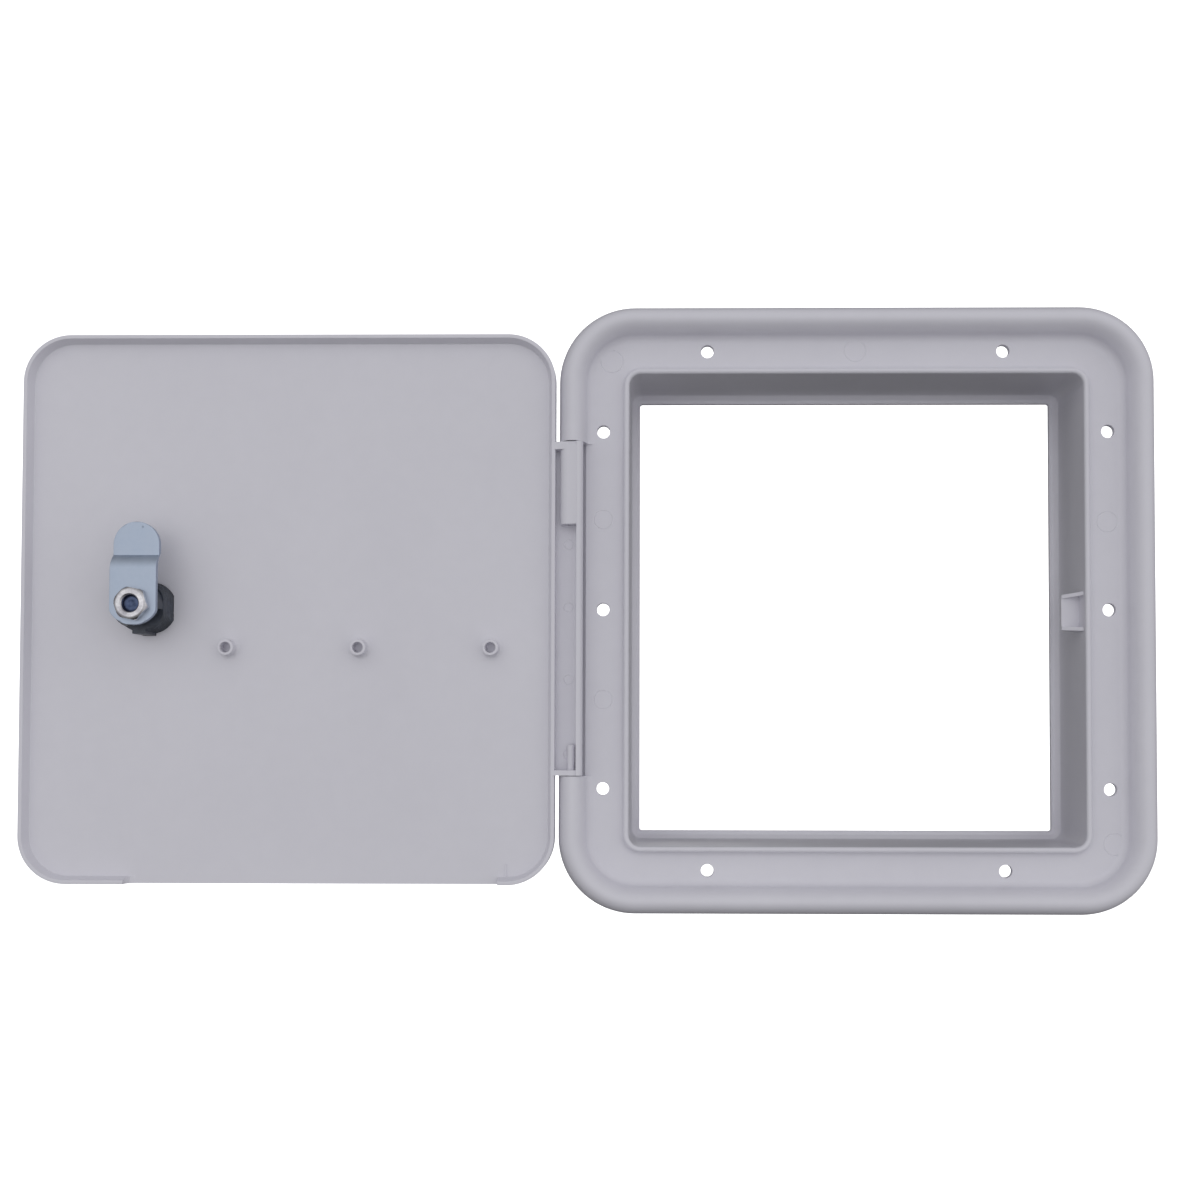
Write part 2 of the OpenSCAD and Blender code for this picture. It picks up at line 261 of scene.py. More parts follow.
def node(tree, kind, **inputs):
    n = tree.nodes.new(kind)
    for k, v in inputs.items():
        if k in n.inputs:
            n.inputs[k].default_value = v
        else:
            setattr(n, k, v)
    return n


def material(name):
    m = bpy.data.materials.new(name)
    m.use_nodes = True
    t = m.node_tree
    return m, t, t.nodes["Principled BSDF"]


def noise(t, scale, detail=3.0, rough=0.5, source=None, stretch=None):
    tc = t.nodes.new("ShaderNodeTexCoord")
    n = t.nodes.new("ShaderNodeTexNoise")
    n.inputs["Scale"].default_value = scale
    n.inputs["Detail"].default_value = detail
    n.inputs["Roughness"].default_value = rough
    if stretch:
        mp = t.nodes.new("ShaderNodeMapping")
        mp.inputs["Scale"].default_value = stretch
        t.links.new(tc.outputs["Object"], mp.inputs["Vector"])
        t.links.new(mp.outputs["Vector"], n.inputs["Vector"])
    else:
        t.links.new(tc.outputs["Object"], n.inputs["Vector"])
    return n.outputs["Fac"]


def ramp(t, fac, stops):
    r = t.nodes.new("ShaderNodeValToRGB")
    e = r.color_ramp.elements
    while len(e) < len(stops):
        e.new(0.5)
    for el, (pos, col) in zip(e, stops):
        el.position = pos
        el.color = (*col, 1.0) if len(col) == 3 else col
    t.links.new(fac, r.inputs["Fac"])
    return r.outputs["Color"]


def spread(t, fac, lo, hi, a=0.3, b=0.7):
    m = t.nodes.new("ShaderNodeMapRange")
    m.inputs["From Min"].default_value = a
    m.inputs["From Max"].default_value = b
    m.inputs["To Min"].default_value = lo
    m.inputs["To Max"].default_value = hi
    t.links.new(fac, m.inputs["Value"])
    return m.outputs["Result"]


def bump(t, heights):
    """Chained bumps from (height, distance in metres, strength)."""
    prev = None
    for h, dist, strength in heights:
        b = t.nodes.new("ShaderNodeBump")
        b.inputs["Distance"].default_value = dist
        b.inputs["Strength"].default_value = strength
        t.links.new(h, b.inputs["Height"])
        if prev is not None:
            t.links.new(prev, b.inputs["Normal"])
        prev = b.outputs["Normal"]
    return prev


def plastic():
    """Light grey injection-moulded plastic: satin, faintly mottled, with flow and handling marks."""
    m, t, s = material("moulded_plastic")
    tone = noise(t, 9.0, 4.0, 0.55)
    fine = noise(t, 160.0, 3.0, 0.6)
    mix = t.nodes.new("ShaderNodeMix")
    mix.data_type = "FLOAT"
    mix.inputs[0].default_value = 0.3
    t.links.new(tone, mix.inputs[2])
    t.links.new(fine, mix.inputs[3])
    col = ramp(t, mix.outputs[0], [(0.30, (0.684, 0.672, 0.734)), (0.52, (0.706, 0.694, 0.756)),
                                   (0.72, (0.726, 0.714, 0.776))])
    t.links.new(col, s.inputs["Base Color"])
    rub = noise(t, 26.0, 5.0, 0.62, stretch=(1.0, 1.0, 0.35))
    t.links.new(spread(t, rub, 0.40, 0.52), s.inputs["Roughness"])
    grain = noise(t, 2600.0, 2.0, 0.5)
    swell = noise(t, 42.0, 2.0, 0.4)
    t.links.new(bump(t, [(swell, 0.0004, 0.06), (grain, 0.00002, 0.22)]), s.inputs["Normal"])
    s.inputs["IOR"].default_value = 1.49
    s.inputs["Specular IOR Level"].default_value = 0.5
    return m


def black_lock():
    """Black painted zinc casting: satin, a little worn to grey in random patches."""
    m, t, s = material("lock_black")
    n = noise(t, 380.0, 5.0, 0.65)
    t.links.new(ramp(t, n, [(0.30, (0.024, 0.029, 0.042)), (0.62, (0.050, 0.060, 0.084)), (0.78, (0.11, 0.125, 0.165))]),
                s.inputs["Base Color"])
    t.links.new(spread(t, n, 0.34, 0.52), s.inputs["Roughness"])
    t.links.new(bump(t, [(noise(t, 1400.0, 3.0, 0.6), 0.00003, 0.35)]), s.inputs["Normal"])
    s.inputs["Specular IOR Level"].default_value = 0.6
    return m


def metal(name, lo, hi, rough, scale=300.0, stretch=None, grain=0.25, dist=0.00001):
    m, t, s = material(name)
    n = noise(t, scale, 4.0, 0.6, stretch=stretch)
    t.links.new(ramp(t, n, [(0.30, lo), (0.70, hi)]), s.inputs["Base Color"])
    t.links.new(spread(t, n, rough[0], rough[1]), s.inputs["Roughness"])
    t.links.new(bump(t, [(noise(t, scale * 5, 3.0, 0.6, stretch=stretch), dist, grain)]), s.inputs["Normal"])
    s.inputs["Metallic"].default_value = 1.0
    return m


PLASTIC = plastic()
BLACK = black_lock()
ZINC = metal("zinc_blue", (0.403, 0.464, 0.569), (0.473, 0.534, 0.639), (0.40, 0.52), 220.0)
CHROME = metal("nut_chrome", (0.36, 0.35, 0.385), (0.82, 0.81, 0.83), (0.06, 0.20), 230.0)
# stud and plug metal coloured dark blue: a painted reflection, the dark blue surround mirrored in the recessed stud end
# put into the metal's own colour
STUD_PAINTED_REFLECTION = metal("stud_metal_painted_reflection", (0.05, 0.068, 0.13), (0.11, 0.14, 0.23), (0.34, 0.46), 700.0)
PIN = metal("pin_steel", (0.50, 0.50, 0.51), (0.62, 0.62, 0.63), (0.24, 0.36), 260.0, (1, 1, 6))
WASHER = metal("washer_dark", (0.09, 0.095, 0.105), (0.16, 0.165, 0.18), (0.35, 0.5), 420.0)


# ---------------------------------------------------------------- frame moulding

def frame_section():
    """(half width, half height, corner radius, v) round the whole section."""
    def outer(d, v):
        return FW - d, FH - d, FR - d, v

    def inner(e, v):
        return AW + e, AH + e, AR + e, v

    s = [outer(0.3, 0.0), outer(0.09, 0.09), outer(0.0, 0.3), outer(0.0, 1.4)]
    for i in range(27):                                     # the bead's crest
        a = rad(158 * i / 26)
        s.append(outer(5.4 - 5.4 * math.cos(a), FLOOR + 8.5 * math.sin(a)))
    for i in range(1, 9):                                   # fillet at its foot
        a = rad(5 + 85 * i / 8)
        s.append(outer(13.45 - 3.0 * math.cos(a), FLOOR + 3.0 - 3.0 * math.sin(a)))
    s.append(inner(4.7, FLOOR))
    for i in range(7):                                      # fillet outside the lip
        a = rad(90 * i / 6)
        s.append(inner(4.0 - 1.8 * math.sin(a), FLOOR + 1.8 - 1.8 * math.cos(a)))
    for i in range(11):                                     # the lip's crest
        a = rad(180 * i / 10)
        s.append(inner(1.1 + 1.1 * math.cos(a), LIP_H - 1.1 + 1.1 * math.sin(a)))
    s.append(inner(-0.02, 4.0))
    s.append(inner(-0.06, 0.0))
    s.append(inner(-0.2, -14.0))
    s += [inner(-0.32, -25.2), inner(-0.42, -25.75), inner(-0.7, -26.25), inner(-1.85, -27.6),
          inner(-2.15, -27.85), inner(-2.5, -27.97)]        # sloping corner above the ledge
    for i in range(5):                                      # the ledge's edge
        a = rad(90 * i / 4)
        s.append(inner(-LEDGE + 0.25 - 0.25 * math.sin(a), -28.0 - 0.25 * (1 - math.cos(a))))
    s += [inner(-LEDGE, -29.75), inner(-LEDGE + 0.1, -29.93), inner(-LEDGE + 0.3, -30.0), inner(1.5, -30.0),
          inner(1.72, -29.92), inner(1.8, -29.7), inner(2.2, -0.6), inner(2.45, -0.1), inner(2.8, 0.0)]
    s += [outer(8.9, 0.0), outer(8.6, 0.3)]
    for i in range(17):                                     # the bead's hollow
        a = rad(180 * i / 16)
        s.append(outer(5.4 + 3.2 * math.cos(a), FLOOR + 6.3 * math.sin(a)))
    s += [outer(2.2, 0.3), outer(1.9, 0.0)]
    return s


def mark(x, y, v, r, depth=0.13, half=0.3, n=56):
    """The faint ring that an ejector pin leaves: a shallow groove to be cut at height v."""
    return turned("mark", [(r - half, 0.03), (r + half, 0.03), (r + half * 0.25, -depth), (r - half * 0.25, -depth)],
                  n, (x, y), v, close=True)


def screw_tool(x, y):
    prof = [(0, -1.5), (2.75, -1.5), (2.75, 0.0)] + \
           [(2.5 + 0.25 * (1 - math.sin(rad(a))), 0.25 - 0.25 * math.cos(rad(a))) for a in (30, 60, 90)] + \
           [(2.5 + 0.32 * (1 - math.cos(rad(a))), 2.18 + 0.32 * math.sin(rad(a))) for a in (0, 30, 60, 90)] + \
           [(2.82, 4.0), (0, 4.0)]
    return turned("screw", prof, 48, (x, y))


def keeper():
    t, w = AW - 6.9, AW + 1.0
    v = CAM_TOP + JOG + 0.3

    def station(x, y0, y1, top):
        return [(x, y0, v), (x, y1, v), (x, y1, top), (x, y1 - 1.5, top), (x, y1 - 1.5, v + 2.0),
                (x, y0 + 1.5, v + 2.0), (x, y0 + 1.5, top), (x, y0, top)]

    slope = (7.4 - 2.3) / (AW - t)
    ob = loft("keeper", [station(t, -7.6, 6.2, v + 2.3), station(w, -8.3, 7.3, v + 2.3 + slope * (w - t))])
    round_edges(ob, 0.28, 2, lambda e: all(p.co.x < w - 0.5 for p in e.verts) or
                abs(e.verts[0].co.x - e.verts[1].co.x) > 3)
    return ob


def build_frame():
    ob = loft("frame", [rounded(hw, hh, r, v) for hw, hh, r, v in frame_section()], close=True)
    ends = [block("end", (-113.2, s * (NOTCH + 6.0) - 7.5, 0.35), (-106.0, s * (NOTCH + 6.0) + 7.5, 8.6)) for s in (-1, 1)]
    cut(ob, [tuple(ends)], "UNION")
    cut(ob, [keeper()], "UNION")
    cut(ob, [block("gap", (-117, -NOTCH, -2), (-107.4, NOTCH, 13)),
             block("gap", (-117, -NOTCH, FLOOR), (-101.3, NOTCH, 13)),
             turned("sweep", [(0, -NOTCH), (SWEEP, -NOTCH), (SWEEP, NOTCH), (0, NOTCH)], 96, (HINGE_X, HINGE_H), 0.0, "y")])
    bm = bmesh.new()
    bm.from_mesh(ob.data)
    edges = [e for e in bm.edges if len(e.link_faces) == 2 and e.calc_face_angle(0) > rad(30)
             and all(abs(abs(p.co.y) - NOTCH) < 0.01 and p.co.x < -103.95 and p.co.z > 2.6 for p in e.verts)]
    if edges:
        bmesh.ops.bevel(bm, geom=edges, offset=0.3, offset_type="OFFSET", segments=2, profile=0.5,
                        affect="EDGES", clamp_overlap=True)
    bm.to_mesh(ob.data)
    bm.free()
    cut(ob, [tuple(turned("pin", [(0, -12), (1.5, -12), (1.5, 12), (0, 12)], 32, (HINGE_X, HINGE_H), s * NOTCH, "y")
                   for s in (-1, 1))])
    cut(ob, [tuple(screw_tool(x, y) for x, y in SCREWS)])
    marks = [(-94.8, 97.0, 4.4), (0.0, 101.1, 4.2), (-98.1, 35.0, 3.6), (-98.0, -35.1, 3.6),
             (97.4, 34.1, 4.0), (99.3, -90.7, 4.2)]
    cut(ob, [tuple(mark(x, y, FLOOR, r) for x, y, r in marks)])
    return place(ob, "frame_shell", "frame", PLASTIC, ["frame_moulding"])


# ---------------------------------------------------------------- door moulding

def tongue_outline():
    a, b = BEAD_W / 2 - 0.3, 8.5 - 0.3
    c = -FW + BEAD_W / 2 - HINGE_X
    v0 = FLOOR - HINGE_H
    top = v0 + b
    x1 = DOOR_X0 - HINGE_X + 1
    pts = [(x1, top - 2), (x1, top)]
    pts += [(c + a * math.cos(rad(t)), v0 + b * math.sin(rad(t))) for t in [90 + 73 * i / 20 for i in range(21)]]
    pts += [(c - a + 0.31, v0 + 1.85), (c - a + 0.45, v0 + 1.3), (c - a + 0.65, v0 + 0.88), (c - a + 0.9, v0 + 0.55),
            (c - a + 1.2, v0 + 0.29), (c - a + 1.6, v0 + 0.1), (c - a + 2.1, v0 - 0.04), (c - a + 2.5, v0 - 0.1), (c - a + 2.66, v0 - 0.02), (c - a + 2.7, v0 + 0.15)]
    pts += arc(c - a + 4.2, top - 3.5, 1.5, 180, 90, 8)
    return [(p[0] + HINGE_X, p[1] + HINGE_H) for p in pts]


def web_outline():
    a, b = BEAD_W / 2 - 0.9, 8.5 - 0.9
    c = -FW + BEAD_W / 2 - HINGE_X
    v0 = FLOOR - HINGE_H
    x1 = DOOR_X0 - HINGE_X + 1
    pts = [(x1, RIM_EDGE - HINGE_H), (x1, v0 + b)]
    pts += [(c + a * math.cos(rad(t)), v0 + b * math.sin(rad(t))) for t in [90 + 70 * i / 12 for i in range(13)]]
    pts += [(c - a + 0.5, v0 + 1.6), (c - a + 1, v0 + 0.9), (c - a + 1.9, v0 + 0.5), (c + 1.5, RIM_EDGE - HINGE_H - 1)]
    return [(p[0] + HINGE_X, p[1] + HINGE_H) for p in pts]


def build_door():
    hw, hh, r = DOOR_W / 2, DOOR_H / 2, DOOR_R
    s = [(6.0, DOOR_OUT), (2.4, DOOR_OUT)]
    s += [(1.8 - 1.8 * math.sin(rad(a)), 9.2 + 1.8 * math.cos(rad(a))) for a in range(0, 91, 10)]
    s += [(0.0, RIM_EDGE + 0.35), (0.1, RIM_EDGE + 0.1), (0.35, RIM_EDGE)]
    s += [(1.2, RIM_EDGE), (1.48, RIM_EDGE + 0.1), (1.6, RIM_EDGE + 0.4)]
    s += [(3.1 - 0.5 * math.cos(rad(a)), DOOR_IN - 0.5 + 0.5 * math.sin(rad(a))) for a in range(0, 91, 18)]
    s += [(3.4, DOOR_IN), (6.0, DOOR_IN)]
    ob = loft("door", [rounded(hw - d, hh - d, r - d, v, DOOR_CX) for d, v in s])
    # the low stretch of the bottom rim, with a sloping end on the lock's side
    y0, y1 = -hh - 1.0, -hh + 4.0
    ob_cut = prism("low", [(-82.0, 3.0), (-82.0, DOOR_IN - 0.01), (58.5, DOOR_IN - 0.01), (60.4, 8.0),
                           (61.6, 6.4), (62.0, 3.0)], y0, y1, "y")
    cut(ob, [ob_cut])
    # tongue, its end webs and the upper pin's sleeve
    tongue = prism("tongue", tongue_outline(), -TONGUE, TONGUE, "y")
    cut(ob, [tongue], "UNION")
    webs = [prism("web", web_outline(), -TONGUE + 0.01, -TONGUE + 2.0, "y") for _ in (0,)] + \
           [prism("web", web_outline(), TONGUE - 2.9, TONGUE - 0.01, "y")]
    rings = []
    for y, r in ((TONGUE - 32.0, 3.1), (TONGUE - 31.88, 3.38), (TONGUE - 31.6, 3.5), (TONGUE - 1.0, 3.5)):
        k = r - 3.5
        pts = arc(0.9, 0, r, -84, 90, 24) + arc(0, 0, r, 90, 200, 16) + \
              [(-2.9, -3.95 - k), (-2.3, -4.2 - k), (-1.6, -4.12 - k), (-0.6, -3.8 - k), (0.2, -3.6 - k), (0.8, -3.52 - k)]
        rings.append([(HINGE_X + x, y, HINGE_H + v) for x, v in pts])
    cut(ob, [loft("sleeve", rings)], "UNION")
    cut(ob, [webs[0], webs[1]], "UNION")
    # bosses
    prof = [(0, 1.0), (4.4, 1.0), (4.4, -0.02)]
    prof += [(4.4 - 1.3 * math.sin(rad(a)), -1.2 + 1.2 * math.cos(rad(a))) for a in (20, 40, 60, 80, 90)]
    prof += [(3.1, -4.7), (3.0, -4.92), (2.8, -5.0), (0, -5.0)]
    cut(ob, [tuple(turned("boss", prof, 48, p, DOOR_IN) for p in BOSSES)], "UNION")
    bore = [(0, -0.5), (1.9, -0.5), (2.0, -0.7), (2.0, -4.75), (2.2, -5.02), (2.2, -6.0), (0, -6.0)]
    cut(ob, [tuple(turned("bore", bore, 40, p, DOOR_IN) for p in BOSSES)])
    # running hole of the pins
    cut(ob, [turned("pin", [(0, -66), (1.55, -66), (1.55, 66), (0, 66)], 32, (HINGE_X, HINGE_H), 0.0, "y")])
    # double-D hole with the slot for the barrel's rib
    d = []
    a0 = math.degrees(math.acos((FLAT + 0.1) / (BARREL_R + 0.1)))
    d += [(LOCK_X + x, LOCK_Z + y) for x, y in arc(0, 0, BARREL_R + 0.1, a0, 180 - a0, 24)]
    d += [(LOCK_X + x, LOCK_Z + y) for x, y in arc(0, 0, BARREL_R + 0.1, 180 + a0, 360 - a0, 24)]
    cut(ob, [prism("dd", d, DOOR_IN - 1.5, DOOR_OUT + 1.5),
             block("slot", (LOCK_X - 2.1, LOCK_Z - BARREL_R - 0.9, DOOR_IN - 1.5), (LOCK_X + 3.3, LOCK_Z - BARREL_R + 2, DOOR_OUT + 1.5))])
    marks = [(-93.4, 89.3, 4.4), (-93.7, 37.7, 4.4), (-93.6, -37.5, 4.4), (-93.8, -88.8, 4.4),
             (94.0, 89.6, 4.4), (92.2, -37.8, 4.4), (91.9, -89.7, 4.4), (15.4, -37.7, 4.6), (-16.4, -39.2, 5.0)]
    tools = []
    for x, y, rr in marks:
        g = mark(x, y, 0.0, rr)
        g.data.transform(Matrix(((1, 0, 0, 0), (0, 1, 0, 0), (0, 0, -1, DOOR_IN), (0, 0, 0, 1))))
        tools.append(g)
    floor_v = FLOOR + 8.2 - 2.0                             # bottom of the tongue's trough, closed
    for y in (24.9, 0.5, -27.4, -56.4):
        g = mark(-108.8, y, 0.0, 1.8, 0.13, 0.28, 40)
        g.data.transform(Matrix(((1, 0, 0, 0), (0, 1, 0, 0), (0, 0, -1, floor_v), (0, 0, 0, 1))))
        g.data.flip_normals()
        tools.append(g)
    cut(ob, [tuple(tools)])
    # a thin rib by the end of the bottom rim
    cut(ob, [block("rib", (-85.2, -104.2, DOOR_IN - 0.4), (-84.6, -98.4, DOOR_IN + 0.4), 0.12)], "UNION")
    cut(ob, [block("pocket", (-112.4, -62.0, floor_v - 4.0), (-110.4, -59.8, floor_v + 0.6))])
    return place(ob, "door_shell", "door", PLASTIC, ["door_moulding"], opened=True)


# ---------------------------------------------------------------- lock

def build_lock():
    n_th, pitch = 144, 1.5
    rings = []
    v_hi, v_lo = DOOR_OUT - 0.4, DOOR_IN - BARREL_L       # from the bezel in to the barrel's face
    steps = 96
    a_rib0, a_rib1 = 256.0, 289.0
    for i in range(steps + 1):
        v = v_hi + (v_lo - v_hi) * i / steps
        ring = []
        for j in range(n_th):
            th = 2 * math.pi * j / n_th
            ph = ((v - v_lo) / pitch + j / n_th) % 1.0
            tri = 1 - abs(2 * ph - 1)                      # 0 root, 1 crest
            tri = min(max((tri - 0.12) / 0.66, 0.0), 1.0)
            r = 8.75 + (BARREL_R - 8.75) * tri
            edge = 0.45
            if v - v_lo < edge:                            # chamfer at the barrel's face
                r = min(r, BARREL_R - 0.75 + 0.75 * (v - v_lo) / edge)
            c = abs(math.cos(th))
            if c > 1e-4:
                r = min(r, (FLAT - 0.13 * (1 - tri)) / c)
            ring.append((LOCK_X + r * math.cos(th), LOCK_Z + r * math.sin(th), v))
        rings.append(ring)
    body = loft("barrel", rings)
    rib = block("rib", (LOCK_X - 2.0, LOCK_Z - BARREL_R - 0.78, DOOR_IN - BARREL_L + 0.02),
                (LOCK_X + 3.2, LOCK_Z - BARREL_R + 2.2, DOOR_OUT - 0.3), 0.25)
    neck = turned("neck", [(0, 0.0), (6.9, 0.0), (7.2, 0.3), (7.2, NECK_L - BARREL_L + 0.5), (0, NECK_L - BARREL_L + 0.5)],
                  64, (LOCK_X, LOCK_Z), DOOR_IN - NECK_L)
    post_h = CAM_UP - 0.3 - BARREL_L + 0.5
    a0, a1, k = 104.0, 190.0, 20
    sect = [(7.4, 0.2), (7.6, 0.0), (8.4, 0.0), (8.6, 0.2), (8.6, post_h), (6.8, post_h), (6.8, 1.3), (7.4, 1.3)]
    post = loft("post", [[(LOCK_X + r * math.cos(rad(a0 + (a1 - a0) * i / k)),
                           LOCK_Z + r * math.sin(rad(a0 + (a1 - a0) * i / k)),
                           DOOR_IN - CAM_UP + 0.3 + h) for r, h in sect] for i in range(k + 1)])
    bezel = turned("bezel", [(0, -0.3), (12.8, -0.3), (12.8, 0.0), (12.95, 0.05), (13.0, 0.2), (13.0, 0.9), (12.9, 1.4), (12.6, 1.78), (12.1, 1.97),
                             (11.6, 2.0), (9.2, 1.92), (8.75, 1.86), (8.5, 1.7), (8.4, 1.45), (8.4, 0.2), (0, 0.2)], 96,
                   (LOCK_X, LOCK_Z), DOOR_OUT)
    cut(body, [rib, neck, post, bezel], "UNION")
    cut(body, [turned("bore", [(0, -40), (5.5, -40), (5.5, 0.5), (0, 0.5)], 64, (LOCK_X, LOCK_Z), DOOR_OUT)])
    place(body, "lock_body", "door", BLACK, ["lock_housing"], opened=True, angle=38)

    # plug: face with the key slot, round body, tail and stud
    plug = turned("plug", [(0, 1.7), (7.7, 1.7), (8.0, 1.62), (8.15, 1.4), (8.2, 1.1), (8.2, 0.4), (5.4, 0.4), (5.4, -16.7), (5.2, -16.9), (0, -16.9)],
                  72, (LOCK_X, LOCK_Z), DOOR_OUT)
    tail = []
    for i in range(48):
        a = 2 * math.pi * i / 48
        r = min(5.0, 3.9 / max(abs(math.cos(a)), 1e-4))
        tail.append((LOCK_X + r * math.cos(a), LOCK_Z + r * math.sin(a)))
    cut(plug, [prism("tail", tail, CAM_TOP - CAM_T, CAM_TOP + 2.5)], "UNION")
    stud = [(0, 0.06), (1.2, 0.06), (1.3, 0.0), (2.45, 0.0), (2.75, 0.1), (3.06, 0.4), (3.1, 0.6), (2.95, 0.8), (2.95, 2.0), (0, 2.0)]
    cut(plug, [turned("stud", stud, 40, (LOCK_X, LOCK_Z), CAM_TOP - CAM_T - STUD_H)], "UNION")
    cut(plug, [block("key", (LOCK_X - 4.2, LOCK_Z - 1.0, 6.0), (LOCK_X + 4.2, LOCK_Z + 1.0, 16.0), 0.3)])
    # the plug and stud take the dark blue painted-reflection metal
    place(plug, "lock_plug_turned", "cam", STUD_PAINTED_REFLECTION, ["lock_plug"], opened=True)

    # stop washer
    w = []
    for i in range(64):
        a = 360.0 * i / 64
        inside = -76 <= (a if a <= 180 else a - 360) <= 100
        w.append((LOCK_X + (8.95 if inside else 6.9) * math.cos(rad(a)), LOCK_Z + (8.95 if inside else 6.9) * math.sin(rad(a))))
    wash = prism("washer", w, CAM_TOP + 0.02, CAM_TOP + 1.42)
    round_edges(wash, 0.15, 1)
    hole = []
    for i in range(48):
        a = 2 * math.pi * i / 48
        r = min(5.05, 3.95 / max(abs(math.cos(a)), 1e-4))
        hole.append((LOCK_X + r * math.cos(a), LOCK_Z + r * math.sin(a)))
    cut(wash, [prism("hole", hole, CAM_TOP - 1, CAM_TOP + 3)])
    place(wash, "stop_washer_pressed", "cam", WASHER, ["stop_washer"], opened=True)

    build_cam(hole)
    build_nut()


def cam_height(y):
    """How far the cam's faces are raised towards the door, at height y above its pivot."""
    t = min(max((y - 13.1) / 5.6, 0.0), 1.0)               # a long bend, then a sharp corner
    return JOG * t * t


def build_cam(hole):
    """A strip with rounded edges and a pressed step, swept along its height."""
    a = CAM_W / 2

    def half_width(y):
        w = a
        if y > 12:
            w = a - 0.1 * min((y - 12) / 6, 1)
        top = CAM_L - y
        rt = a - 0.1
        if top < rt:
            w = min(w, math.sqrt(max(rt * rt - (rt - top) ** 2, 0.0)))
        low = y + 7.9
        if y < 2.1:
            w = min(w, math.sqrt(max(100 - (2.1 - y) ** 2, 0.0)))
        return w

    ys = []
    y = -7.9
    while y < CAM_L - 0.001:
        ys.append(y)
        near_end = min(y + 7.9, CAM_L - y)
        y += 0.12 if near_end < 0.5 else 0.35 if near_end < 2.5 else 0.28 if 12.6 < y < 20 else 1.0
    ys.append(CAM_L - 0.0005)
    rings = []
    e = 0.22
    nx = 9
    for y in ys:
        hw = max(half_width(y), 0.06)
        k = min(e, hw * 0.45)
        end = min(y + 7.9, CAM_L - y)
        sh = max(0.0, e - end) if end < e else 0.0          # the faces draw in at the very ends
        base = CAM_TOP - CAM_T + cam_height(y)
        back = CAM_TOP + cam_height(y - 0.8 * min(max((y - 13.1) / 4, 0), 1))
        lo, hi = base + sh, back - sh
        sec = []
        for i in range(nx + 1):                             # face towards the viewer when open
            x = (-hw + k) + 2 * (hw - k) * i / nx
            sec.append((x, lo))
        sec += [(hw - k * 0.3, lo + k * 0.3), (hw, lo + k), (hw, hi - k), (hw - k * 0.3, hi - k * 0.3)]
        for i in range(nx + 1):
            x = (hw - k) - 2 * (hw - k) * i / nx
            sec.append((x, hi))
        sec += [(-hw + k * 0.3, hi - k * 0.3), (-hw, hi - k), (-hw, lo + k), (-hw + k * 0.3, lo + k * 0.3)]
        rings.append([(LOCK_X + x, LOCK_Z + y, v) for x, v in sec])
    ob = loft("cam", rings)
    cut(ob, [prism("hole", hole, CAM_TOP - CAM_T - 2, CAM_TOP + 2)])
    # a small punch dot near the tip
    px, py = LOCK_X - 2.4, LOCK_Z + 29.3
    lo = CAM_TOP - CAM_T + JOG
    cut(ob, [turned("dot", [(0, -0.5), (0.45, -0.5), (0.45, -0.02), (0.3, 0.12), (0, 0.18)], 16, (px, py), lo)])
    place(ob, "lock_cam_pressed", "cam", ZINC, ["lock_cam"], opened=True, angle=40)


def build_nut():
    lo = CAM_TOP - CAM_T - NUT_H
    hexa = [(6.75 * math.cos(rad(60 * i + 12)), 6.75 * math.sin(rad(60 * i + 12))) for i in range(6)]
    ob = prism("nut", [(LOCK_X + x, LOCK_Z + y) for x, y in hexa], lo, lo + NUT_H - 0.02)
    round_edges(ob, 0.18, 2)
    # a turned chamfer on the outer face rounds off the corners
    tool = turned("chamfer", [(9.0, 3.4), (6.6, 3.4), (6.6, 1.5), (6.45, 1.1), (6.1, 0.62), (5.6, 0.22), (5.15, 0.03), (4.9, -0.02), (4.9, -1.0), (9.0, -1.0)],
                  96, (LOCK_X, LOCK_Z), lo, close=True)
    cut(ob, [tool])
    bore = [(0, -1.0), (3.75, -1.0), (3.75, -0.02), (3.55, 0.1), (3.3, 0.35), (3.12, 0.65), (3.1, 6.0), (0, 6.0)]
    cut(ob, [turned("bore", bore, 64, (LOCK_X, LOCK_Z), lo)])
    place(ob, "cam_nut_hex", "cam", CHROME, ["cam_nut"], opened=True, angle=28)


# ---------------------------------------------------------------- stage, lights, camera

def build_stage():
    """A seamless bowl: flat floor, a cove and a wall all round, closed by a dome."""
    prof = [(0.0, -0.75), (1.0, -0.75), (2.2, -0.75)]
    prof += [(2.2 + 1.4 * math.sin(rad(a)), -0.75 + 1.4 - 1.4 * math.cos(rad(a))) for a in range(10, 91, 10)]
    prof += [(3.6, 1.6)]
    prof += [(3.6 * math.cos(rad(a)), 1.6 + 2.0 * math.sin(rad(a))) for a in range(10, 90, 10)]
    prof += [(0.0, 3.6)]
    bowl = turned("studio_bowl", prof, 96)
    for p in bowl.data.polygons:
        p.use_smooth = True
    m, t, s = material("studio_paper")
    n = noise(t, 1.5, 2.0, 0.5)
    t.links.new(ramp(t, n, [(0.3, (0.86, 0.86, 0.865)), (0.7, (0.90, 0.90, 0.90))]), s.inputs["Base Color"])
    s.inputs["Roughness"].default_value = 0.9
    s.inputs["Emission Color"].default_value = (1.0, 1.0, 1.0, 1.0)
    s.inputs["Emission Strength"].default_value = 0.95
    bowl.data.materials.append(m)
    bowl.visible_diffuse = False
    bowl.visible_glossy = False
    bowl.visible_transmission = False
    bowl.visible_shadow = False
    return bowl


def softbox(name, at, towards, size, power, colour=(1, 1, 1)):
    d = bpy.data.lights.new(name, "AREA")
    d.shape = "RECTANGLE"
    d.size, d.size_y = size
    d.energy = power
    d.color = colour
    o = bpy.data.objects.new(name, d)
    SCENE.collection.objects.link(o)
    o.location = at
    o.rotation_mode = "QUATERNION"
    o.rotation_quaternion = (Vector(towards) - Vector(at)).to_track_quat("-Z", "Y")
    o.visible_camera = False
    return o


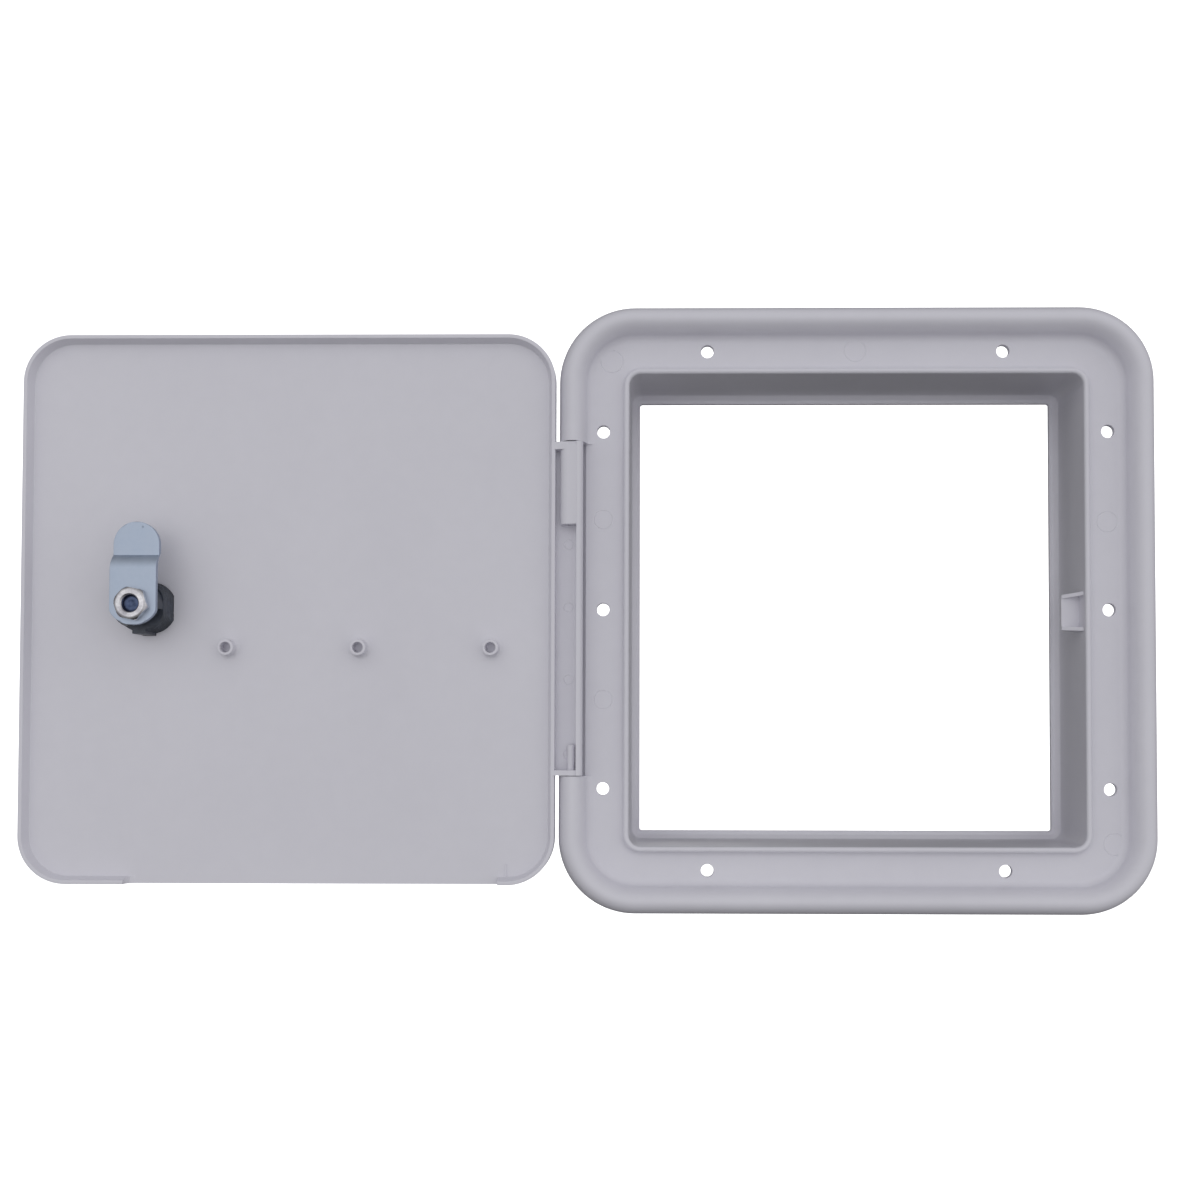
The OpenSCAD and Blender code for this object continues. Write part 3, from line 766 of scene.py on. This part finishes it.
def sky_lobe(t, direction, power, strength):
    """A soft glow of the studio's walls, centred on one direction."""
    tc = t.nodes.new("ShaderNodeTexCoord")
    d = t.nodes.new("ShaderNodeVectorMath")
    d.operation = "DOT_PRODUCT"
    d.inputs[1].default_value = direction
    t.links.new(tc.outputs["Generated"], d.inputs[0])
    out = d.outputs["Value"]
    for op, value in (("MAXIMUM", 0.0), ("POWER", power), ("MULTIPLY", strength)):
        m = t.nodes.new("ShaderNodeMath")
        m.operation = op
        m.inputs[1].default_value = value
        t.links.new(out, m.inputs[0])
        out = m.outputs[0]
    return out


# direction, narrowness and strength of each glow
LOBES = [((0.0, -0.7, 0.7), 2.0, 0.56), ((-0.7, -0.7, 0.0), 2.0, 0.59), ((0.7, -0.7, 0.0), 2.0, 0.23),
         ((0.0, -0.4, -0.916), 2.0, 0.03), ((0.95, -0.3, 0.0), 3.0, 0.62), ((0.0, -1.0, 0.0), 14.0, 0.64),
         ((0.0, 1.0, 0.0), 24.0, 0.45)]


def build_light():
    w = bpy.data.worlds.new("studio")
    w.use_nodes = True
    SCENE.world = w
    t = w.node_tree
    bg = t.nodes["Background"]
    bg.inputs["Color"].default_value = (0.985, 0.99, 1.0, 1.0)
    total = None
    for direction, power, strength in LOBES:
        lobe = sky_lobe(t, direction, power, strength)
        if total is None:
            total = lobe
        else:
            m = t.nodes.new("ShaderNodeMath")
            m.operation = "ADD"
            t.links.new(total, m.inputs[0])
            t.links.new(lobe, m.inputs[1])
            total = m.outputs[0]
    t.links.new(total, bg.inputs["Strength"])
    softbox("back", (-0.15, 3.0, 0.5), (-0.1, 0, 0), (0.9, 0.9), 2.8, (0.98, 0.99, 1.0))


def build_camera():
    yaw, pitch, roll = -0.01203, 0.0262, 0.00155
    fwd = Vector((math.sin(yaw) * math.cos(pitch), math.cos(yaw) * math.cos(pitch), math.sin(pitch)))
    right0 = Vector((math.cos(yaw), -math.sin(yaw), 0.0))
    up0 = right0.cross(fwd)
    right = math.cos(roll) * right0 + math.sin(roll) * up0
    up = -math.sin(roll) * right0 + math.cos(roll) * up0
    cam = bpy.data.cameras.new("camera")
    cam.sensor_fit = "HORIZONTAL"
    cam.sensor_width = 36.0
    cam.lens = 36.0 * 1282.65 / 1200
    cam.shift_x = (600 - 647.96) / 1200
    cam.shift_y = (692.87 - 600) / 1200
    cam.clip_start, cam.clip_end = 0.01, 50
    ob = bpy.data.objects.new("camera", cam)
    SCENE.collection.objects.link(ob)
    m = Matrix((right, up, -fwd)).transposed().to_4x4()
    m.translation = Vector((-0.07452, -0.5, -0.04539))
    ob.matrix_world = m
    SCENE.camera = ob


build_frame()
build_door()
build_lock()
for pin in ("hinge_pin_upper", "hinge_pin_lower"):
    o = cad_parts[pin]
    o.data.materials.clear()
    o.data.materials.append(PIN)
    for p in o.data.polygons:
        p.use_smooth = True
    o.data.set_sharp_from_angle(angle=rad(35))
build_stage()
build_light()
build_camera()
SCENE.view_settings.view_transform = "Standard"
SCENE.view_settings.look = "None"
SCENE.view_settings.exposure = 0.0
SCENE.view_settings.gamma = 1.0
